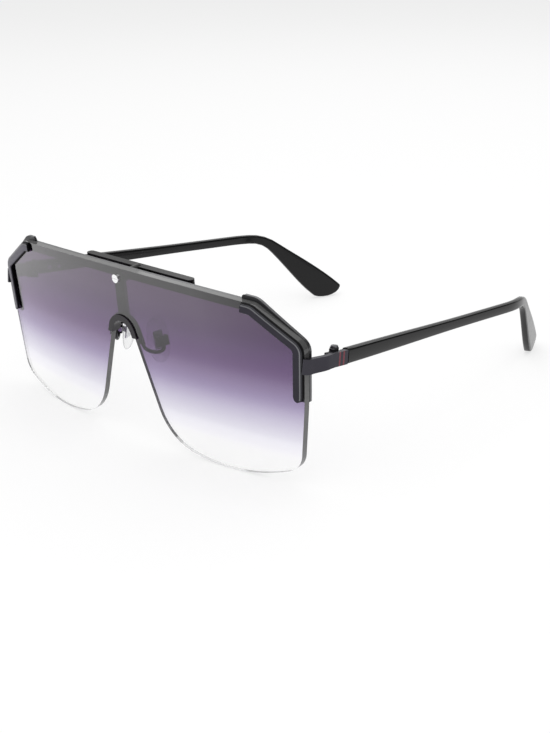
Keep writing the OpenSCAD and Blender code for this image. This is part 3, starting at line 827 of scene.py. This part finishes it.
@dataclass
class PlatedStrip(Fitting):
    """A flat strip along the lens whose bevel and cut edges have finishes of their own, with
    painted shade and highlight.

    Attributes:
        bevel: Finish of its bevel.
        wall: Finish of its cut edges.
        ridge: Finish of the line between its face and its bevel: a pale metal that paints a
            highlight.
        inner: Finish of the cut edges that look towards the middle.
        ridge_w: Width of the line between face and bevel, in metres.
        brink_w: Width of the chamfer between its bevel and its cut edges, in metres.
    """

    bevel: Finish = TRIM_BEVEL
    wall: Finish = SHADE_BLACK_EDGE
    ridge: Finish = TRIM_HIGHLIGHT_RIDGE
    inner: Finish = SHADE_BLACK_EDGE
    ridge_w: float = 0.2 * MM
    brink_w: float = 0.42 * MM

    def finishes(self) -> list[Finish]:
        """Lists the finishes in the order of Band."""
        return [self.finish, self.bevel, self.wall, self.ridge, self.inner]

    def surface(self) -> Surface:
        """Copies the form, gives each face its slot and cuts the thin chamfers of painted
        highlight and shade.

        Returns:
            The strip's surface.
        """
        surface = merged_copy(self.node)
        surface.normal_update()
        self.shape(surface)
        self.sort_faces(surface)
        ridges = [
            edge
            for edge in surface.edges
            if self.slots(edge) == {Band.FACE, Band.BEVEL}
            and max(frontness(face, edge.verts[0].co.x) for face in edge.link_faces)
            > FRONT_SLOPE
        ]
        if ridges:
            # The ridge gets the pale finish that paints a highlight line
            chamfer(surface, ridges, self.ridge_w, Band.RIDGE)
            brink = ({Band.BEVEL, Band.WALL}, {Band.BEVEL, Band.INNER})
            brinks = [edge for edge in surface.edges if self.slots(edge) in brink]
            # The line between bevel and cut edges takes the cut edges' finish: painted shade on
            # the trims, painted highlight on the rear frame
            chamfer(surface, brinks, self.brink_w, Band.WALL)
        return surface

    def shape(self, surface: Surface) -> None:
        """Leaves the form as it is; a strip with a form of its own changes it here."""

    @staticmethod
    def sort_faces(surface: Surface) -> None:
        """Gives each face the slot of the direction that it looks in.

        Args:
            surface: The strip's surface.
        """
        for face in surface.faces:
            middle = face.calc_center_median().x
            slope = frontness(face, middle)
            if slope < WALL_SLOPE:
                inward = -face.normal.x * math.copysign(1.0, middle)
                face.material_index = Band.INNER if inward > TOWARD else Band.WALL
            elif BEVEL_SLOPES[0] < slope < BEVEL_SLOPES[1]:
                face.material_index = Band.BEVEL

    @staticmethod
    def slots(edge: bmesh.types.BMEdge) -> set[int]:
        """Finds the slots of the faces that meet at an edge."""
        return {face.material_index for face in edge.link_faces}


@dataclass
class RearFrame(PlatedStrip):
    """The flat frame behind the lens, whose corner bands swell out towards their upper ends.

    Attributes:
        swell: How far a band stands out beyond the lens at its upper end, in metres.
        swell_from: Distance of the widest place from the middle, in metres.
        swell_to: Distance at which a band lies flush again, in metres.
        slack: Share of the swelling length by which the widest place may be missed.
        step_reach: How far around the widest place small steps are closed, in metres.
        step_gap: Largest step that is closed, in metres.
        end_at: Distance of a band's upper end from the middle, in metres.
        end_reach: How far from that distance a corner may lie, in metres.
        end_depth: How far below the top of the part a corner may lie, in metres.
        end_r: Radius of the end, in metres.
        end_faces: Number of faces round the end.
    """

    swell: float = 1.3 * MM
    swell_from: float = 52.8 * MM
    swell_to: float = 68.0 * MM
    slack: float = 0.002
    step_reach: float = 0.1 * MM
    step_gap: float = 0.06 * MM
    end_at: float = 48.6 * MM
    end_reach: float = 0.05 * MM
    end_depth: float = 0.6 * MM
    end_r: float = 1.1 * MM
    end_faces: int = 5

    def shape(self, surface: Surface) -> None:
        """Swells the bands and rounds their upper ends.

        Args:
            surface: The frame's surface.
        """
        self.swell_bands(surface)
        self.round_ends(surface)
        surface.normal_update()

    def swell_bands(self, surface: Surface) -> None:
        """Moves the outer cut edges of the bands outward.

        Args:
            surface: The frame's surface.
        """
        walls = {
            face
            for face in surface.faces
            if frontness(face, face.calc_center_median().x) < WALL_SLOPE
        }
        rising = {face for face in largest_band(walls) if face.normal.z > TOWARD}
        moves: dict[bmesh.types.BMVert, Vector] = {}
        for vert in {vert for face in rising for vert in face.verts}:
            share = (abs(vert.co.x) - self.swell_from) / (self.swell_to - self.swell_from)
            low = vert.co.z < CAD_BOX[1].z - self.swell
            if low and -self.slack < share < 1.0:
                out = sum((face.normal for face in vert.link_faces if face in rising), Vector())
                moves[vert] = out.normalized() * self.swell * (1.0 - max(share, 0.0))
        for vert, move in moves.items():
            vert.co += move
        step = [
            vert
            for vert in surface.verts
            if abs(abs(vert.co.x) - self.swell_from) < self.step_reach
        ]
        bmesh.ops.remove_doubles(surface, verts=step, dist=self.step_gap)
        LOG.info("rear frame: %d places swelled", len(moves))

    def round_ends(self, surface: Surface) -> None:
        """Rounds the upper corner of each band's end.

        Args:
            surface: The frame's surface.
        """
        top = CAD_BOX[1].z - self.end_depth
        ends = [
            edge
            for edge in surface.edges
            if all(
                abs(abs(vert.co.x) - self.end_at) < self.end_reach and vert.co.z > top
                for vert in edge.verts
            )
        ]
        chamfer(surface, ends, self.end_r, -1, self.end_faces)
        LOG.info("rear frame: %d ends rounded", len(ends))


@dataclass
class ShieldLens:
    """The one bent lens, with a fine even surface for clean reflections.

    Attributes:
        strip: Width of the strips that its bend is cut into, in metres.
        rim: Width of its polished edges, in metres.
        flat: Least share of Y in the normal of its two large faces.
    """

    strip: float = 1.4 * MM
    rim: float = 0.22 * MM
    flat: float = 0.8

    def wall(self) -> Surface:
        """Keeps only the edge wall of the CAD lens, without its screw holes.

        Returns:
            The wall as an open band.
        """
        band = merged_copy("shield_lens")
        large = [face for face in band.faces if abs(face.normal.y) > self.flat]
        bmesh.ops.delete(band, geom=large, context="FACES")
        outer = largest_band(set(band.faces))
        holes = [face for face in band.faces if face not in outer]
        bmesh.ops.delete(band, geom=holes, context="FACES")
        return band

    def build(self) -> Piece:
        """Closes the wall with two bent faces and seats the lens.

        Returns:
            The object.
        """
        lens = self.wall()
        for face in lens.faces:
            face.material_index = LensPart.RIM
        border = [edge for edge in lens.edges if edge.is_boundary]
        bmesh.ops.edgeloop_fill(lens, edges=border, mat_nr=LensPart.TINT)
        low = min(vert.co.x for vert in lens.verts)
        high = max(vert.co.x for vert in lens.verts)
        count = int((high - low) / self.strip)
        for number in range(1, count):
            bmesh.ops.bisect_plane(
                lens,
                geom=lens.verts[:] + lens.edges[:] + lens.faces[:],
                plane_co=(low + (high - low) * number / count, 0, 0),
                plane_no=(1, 0, 0),
                dist=CUT_WELD,
            )
        bmesh.ops.recalc_face_normals(lens, faces=lens.faces)
        LOG.info("lens cut into %d strips", count)
        finishes = [LENS_TINT, LENS_RIM]
        piece = piece_from(lens, "shield_lens_shown", Shading.MACHINED, finishes)
        soften(piece, self.rim, TURNED_CREASE)
        return seat(piece, "shield_lens", FRONT)


# Sub-assemblies


class Assembly:
    """A group of pieces that are built in order."""

    def pieces(self) -> list[Fitting]:
        """Lists the pieces; each sub-assembly gives its own."""
        return []

    def build(self) -> list[Piece]:
        """Builds each piece in order.

        Returns:
            The objects.
        """
        return [piece.build() for piece in self.pieces()]


@dataclass
class FrontFrame(Assembly):
    """Everything that clamps and carries the lens: trims, rear frame, clip and bar.

    Attributes:
        frame_edge: Rounding of the rear frame, in metres.
        clip_edge: Rounding of the nose clip, in metres.
        bar_edge: Rounding of the brow bar, in metres.
        head_edge: Rounding of the bridge screw's head, in metres.
        trim_edge: Rounding of the trims, in metres.
        trim_crease: Least angle of a trim's edge that is rounded, in degrees.
        screw_edge: Rounding of the trim screws, in metres.
    """

    frame_edge: float = 0.12 * MM
    clip_edge: float = 0.12 * MM
    bar_edge: float = 0.45 * MM
    head_edge: float = 0.12 * MM
    trim_edge: float = 0.08 * MM
    trim_crease: float = 28.0
    screw_edge: float = 0.06 * MM

    def pieces(self) -> list[Fitting]:
        """Lists the pieces of the front.

        Returns:
            The pieces in order.
        """
        found: list[Fitting] = [
            # The rear frame's cut edges take the paler plating, a painted highlight; its inner
            # edges keep the black painted shade
            RearFrame(
                "rear_frame", FRONT, "rear_metal", REAR_PLATING, self.frame_edge, wall=REAR_HIGHLIGHT_EDGE
            ),
            Fitting("nose_clip", FRONT, "clip_plastic", CLIP_PLASTIC, self.clip_edge),
            Fitting(
                "brow_bar", FRONT, "bar_lacquer", BAR_LACQUER, self.bar_edge, angle=TURNED_CREASE
            ),
            Fitting(
                "bridge_screw",
                FRONT,
                "screw_steel",
                SCREW_STEEL,
                self.head_edge,
                angle=TURNED_CREASE,
            ),
        ]
        for side in Side:
            found += [
                PlatedStrip(
                    side.node("front_trim"),
                    FRONT,
                    "trim_metal",
                    TRIM_PLATING,
                    self.trim_edge,
                    angle=self.trim_crease,
                ),
                Fitting(
                    side.node("trim_screws"),
                    FRONT,
                    "small_screws",
                    SMALL_SCREW,
                    self.screw_edge,
                    angle=TURNED_CREASE,
                ),
            ]
        return found


@dataclass
class SideAssembly(Assembly):
    """A group of pieces that each side of the sunglasses has.

    Attributes:
        side: Side of the sunglasses.
    """

    side: Side

    def fitting(
        self,
        stem: str,
        body: str,
        slot: str,
        finish: Finish,
        edge: float,
        shading: Shading = Shading.MACHINED,
        angle: float = TURNED_CREASE,
    ) -> Fitting:
        """Describes one piece of this side.

        Args:
            stem: Name of the CAD node without its side.
            body: Body that it moves with.
            slot: Material slot of the record.
            finish: Its finish.
            edge: Width of its rounded edges, in metres.
            shading: How sharply it may turn before its shading breaks.
            angle: Least angle of an edge that is rounded, in degrees.

        Returns:
            The piece.
        """
        return Fitting(self.side.node(stem), body, slot, finish, edge, shading, angle)


@dataclass
class EndPiece(SideAssembly):
    """The strap from the trim back to the joint, with its inlaid lines.

    Attributes:
        edge: Rounding of the strap, in metres.
        inlay_edge: Rounding of the inlaid lines, in metres.
    """

    edge: float = 0.22 * MM
    inlay_edge: float = 0.04 * MM

    def pieces(self) -> list[Fitting]:
        """Lists the strap and its inlay.

        Returns:
            The pieces in order.
        """
        return [
            self.fitting(
                "endpiece", FRONT, "strap_metal", STRAP_PLATING, self.edge, angle=STAMPED_CREASE
            ),
            self.fitting(
                "endpiece_inlay",
                FRONT,
                "inlay_enamel",
                INLAY_ENAMEL,
                self.inlay_edge,
                angle=STAMPED_CREASE,
            ),
        ]


@dataclass
class NosePad(SideAssembly):
    """A rocking nose pad with its core, its screw and its bent arm.

    Attributes:
        arm_edge: Rounding of the bracket on the arm, in metres.
        arm_crease: Least angle of the arm's edges that is rounded, in degrees.
        screw_edge: Rounding of the screw, in metres.
        core_edge: Rounding of the core, in metres.
    """

    arm_edge: float = 0.25 * MM
    arm_crease: float = 70.0
    screw_edge: float = 0.06 * MM
    core_edge: float = 0.05 * MM

    def pieces(self) -> list[Fitting]:
        """Lists the pad's pieces.

        Returns:
            The pieces in order.
        """
        body = self.side.node("pad")
        return [
            self.fitting(
                "pad_arm",
                FRONT,
                "arm_metal",
                HINGE_METAL,
                self.arm_edge,
                Shading.MOULDED,
                self.arm_crease,
            ),
            self.fitting("pad_screw", FRONT, "small_screws", SMALL_SCREW, self.screw_edge),
            self.fitting("pad_core", body, "core_metal", PAD_STEEL, self.core_edge),
            self.fitting("nose_pad", body, "pad_silicone", PAD_SILICONE, 0.0, Shading.DRAWN),
        ]


@dataclass
class Hinge(SideAssembly):
    """The three-knuckle hinge between a strap and a temple.

    Attributes:
        leaf_edge: Rounding of the two leaves, in metres.
        pin_edge: Rounding of the hinge's screw, in metres.
        screw_edge: Rounding of the temple's screws, in metres.
    """

    leaf_edge: float = 0.1 * MM
    pin_edge: float = 0.08 * MM
    screw_edge: float = 0.05 * MM

    def pieces(self) -> list[Fitting]:
        """Lists the two leaves, the screw and the temple's screws.

        Returns:
            The pieces in order.
        """
        body = self.side.node("temple")
        return [
            self.fitting("hinge_front", FRONT, "hinge_metal", HINGE_METAL, self.leaf_edge),
            self.fitting("hinge_screw", FRONT, "small_screws", HINGE_SCREW, self.pin_edge),
            self.fitting("hinge_rear", body, "hinge_metal", HINGE_METAL, self.leaf_edge),
            self.fitting("temple_screws", body, "small_screws", SMALL_SCREW, self.screw_edge),
        ]


@dataclass
class Temple(SideAssembly):
    """A temple that curves inward, drops and flares, round its core bar.

    Attributes:
        edge: Rounding of the temple, in metres.
        crease: Least angle of the temple's edges that is rounded, in degrees.
        core_edge: Rounding of the core, in metres.
    """

    edge: float = 0.1 * MM
    crease: float = 32.0
    core_edge: float = 0.05 * MM

    def pieces(self) -> list[Fitting]:
        """Lists the moulded temple and its core.

        Returns:
            The pieces in order.
        """
        body = self.side.node("temple")
        return [
            self.fitting(
                "temple",
                body,
                "temple_plastic",
                TEMPLE_PLASTIC,
                self.edge,
                Shading.MOULDED,
                self.crease,
            ),
            self.fitting("temple_core", body, "core_metal", CORE_STEEL, self.core_edge),
        ]


# Stage


@dataclass(frozen=True)
class Lamp:
    """One soft square lamp that faces the part.

    Attributes:
        name: Name of the lamp.
        place: Place of the lamp, in metres.
        size: Side of its square, in metres.
        power: Power in watts.
    """

    name: str
    place: Triple
    size: float
    power: float

    def hang(self) -> None:
        """Hangs the lamp and turns it to the part."""
        data = bpy.data.lights.new(self.name, "AREA")
        data.size = self.size
        data.energy = self.power
        lamp = bpy.data.objects.new(self.name, data)
        lamp.location = self.place
        lamp.rotation_euler = Vector(self.place).to_track_quat("Z", "Y").to_euler()
        bpy.context.scene.collection.objects.link(lamp)


@dataclass(frozen=True)
class Studio:
    """Pale floor, soft lamps, pale surroundings and a camera at the photograph's view.

    Attributes:
        eye: Place of the camera, in metres.
        azimuth: Direction in which it looks, turned from +Y towards -X, in degrees.
        elevation: Angle at which it looks down, in degrees.
        roll: Turn of the picture, in degrees.
        focal_px: Focal length in pixels of the photograph.
        sensor: Height of the camera's sensor, in millimetres.
        near: Nearest distance that the camera shows, in metres.
        floor_half: Half the floor's side, in metres.
        floor_gap: Distance of the floor below the part, in metres.
        floor_grey: Linear grey of the floor under the lamps.
        floor_glow: Strength of the floor's own light, for rays that are seen.
        floor_lit: Share of that light in what those rays see.
        room_light: Strength of the surroundings, for the rays that light the part.
        dark: Direction of the dark patch overhead that glosses reflect.
        dark_edge: Its soft border, as lengths along that direction.
        darkness: Share of the light that it takes away.
        lamps: The lamps.
    """

    eye: Triple = (0.31083, -0.33694, 0.17576)
    azimuth: float = 43.6
    elevation: float = 20.75
    roll: float = -1.15
    focal_px: float = 1345.2
    sensor: float = 24.0
    near: float = 0.01
    floor_half: float = 3.0
    floor_gap: float = 0.2 * MM
    floor_grey: float = 0.82
    floor_glow: float = 1.1
    floor_lit: float = 0.62
    room_light: float = 0.62
    dark: Triple = (0.6, 0.6, 0.53)
    dark_edge: Span = (0.72, 0.88)
    darkness: float = 0.95
    lamps: tuple[Lamp, ...] = (
        Lamp("key lamp", (0.12, -0.27, 0.78), 1.1, 4.5),
        Lamp("rear lamp", (-0.2, 0.45, 0.75), 1.0, 2.5),
    )

    def camera(self) -> None:
        """Places the camera at the photograph's view."""
        data = bpy.data.cameras.new("camera")
        data.sensor_fit = "VERTICAL"
        data.sensor_height = self.sensor
        data.lens = self.sensor * self.focal_px / PHOTO_HEIGHT
        data.clip_start = self.near
        camera = bpy.data.objects.new("camera", data)
        bpy.context.scene.collection.objects.link(camera)
        look = (
            Matrix.Rotation(math.radians(self.azimuth), 4, "Z")
            @ Matrix.Rotation(math.radians(90.0 - self.elevation), 4, "X")
            @ Matrix.Rotation(math.radians(self.roll), 4, "Z")
        )
        camera.matrix_world = Matrix.Translation(self.eye) @ look
        bpy.context.scene.camera = camera

    def floor(self) -> None:
        """Lays the pale floor, which keeps a faint shadow."""
        made = bmesh.new()
        bmesh.ops.create_grid(made, x_segments=1, y_segments=1, size=self.floor_half)
        mesh = bpy.data.meshes.new("floor")
        made.to_mesh(mesh)
        made.free()
        mesh.materials.append(self.floor_paint())
        floor = bpy.data.objects.new("floor", mesh)
        floor.location.z = CAD_BOX[0].z - self.floor_gap
        bpy.context.scene.collection.objects.link(floor)

    def floor_paint(self) -> bpy.types.Material:
        """Mixes the floor's paint, which glows for the rays that are seen.

        Returns:
            The paint.
        """
        paint = bpy.data.materials.new("pale floor")
        paint.use_nodes = True
        tree = paint.node_tree
        tree.nodes.clear()
        matt = tree.nodes.new("ShaderNodeBsdfDiffuse")
        matt.inputs["Color"].default_value = (*[self.floor_grey] * 3, 1.0)
        glow = tree.nodes.new("ShaderNodeEmission")
        glow.inputs["Color"].default_value = (1.0, 1.0, 1.0, 1.0)
        glow.inputs["Strength"].default_value = self.floor_glow
        mix = tree.nodes.new("ShaderNodeMixShader")
        out = tree.nodes.new("ShaderNodeOutputMaterial")
        share = joined(tree, "MULTIPLY", shown_rays(tree)[0], self.floor_lit)
        tree.links.new(share, mix.inputs["Fac"])
        tree.links.new(matt.outputs["BSDF"], mix.inputs[1])
        tree.links.new(glow.outputs["Emission"], mix.inputs[2])
        tree.links.new(mix.outputs["Shader"], out.inputs["Surface"])
        return paint

    def surroundings(self) -> None:
        """Sets a pale world for the rays that are seen, and a softer one for light."""
        world = bpy.data.worlds.new("surroundings")
        bpy.context.scene.world = world
        world.use_nodes = True
        tree = world.node_tree
        tree.nodes.clear()
        place = tree.nodes.new("ShaderNodeTexCoord")
        toward = tree.nodes.new("ShaderNodeVectorMath")
        toward.operation = "DOT_PRODUCT"
        toward.inputs[1].default_value = self.dark
        tree.links.new(place.outputs["Generated"], toward.inputs[0])
        every, glossy = shown_rays(tree)
        strength = remapped(tree, every, (0.0, 1.0), (self.room_light, 1.0))
        patch = remapped(tree, toward.outputs["Value"], self.dark_edge, (0.0, self.darkness))
        taken = joined(tree, "MULTIPLY", patch, glossy)
        left = joined(tree, "SUBTRACT", 1.0, taken)
        back = tree.nodes.new("ShaderNodeBackground")
        out = tree.nodes.new("ShaderNodeOutputWorld")
        lit = joined(tree, "MULTIPLY", strength, left)
        tree.links.new(lit, back.inputs["Strength"])
        tree.links.new(back.outputs["Background"], out.inputs["Surface"])

    def build(self) -> None:
        """Sets up the whole studio."""
        self.camera()
        self.floor()
        self.surroundings()
        for lamp in self.lamps:
            lamp.hang()
        bpy.context.scene.view_settings.view_transform = "Standard"


def main() -> None:
    """Builds the sunglasses and the studio."""
    logging.basicConfig(level=logging.INFO, format="%(message)s")
    Studio().build()
    ShieldLens().build()
    FrontFrame().build()
    for side in Side:
        EndPiece(side).build()
        NosePad(side).build()
        Hinge(side).build()
        Temple(side).build()


if __name__ == "__main__":
    main()
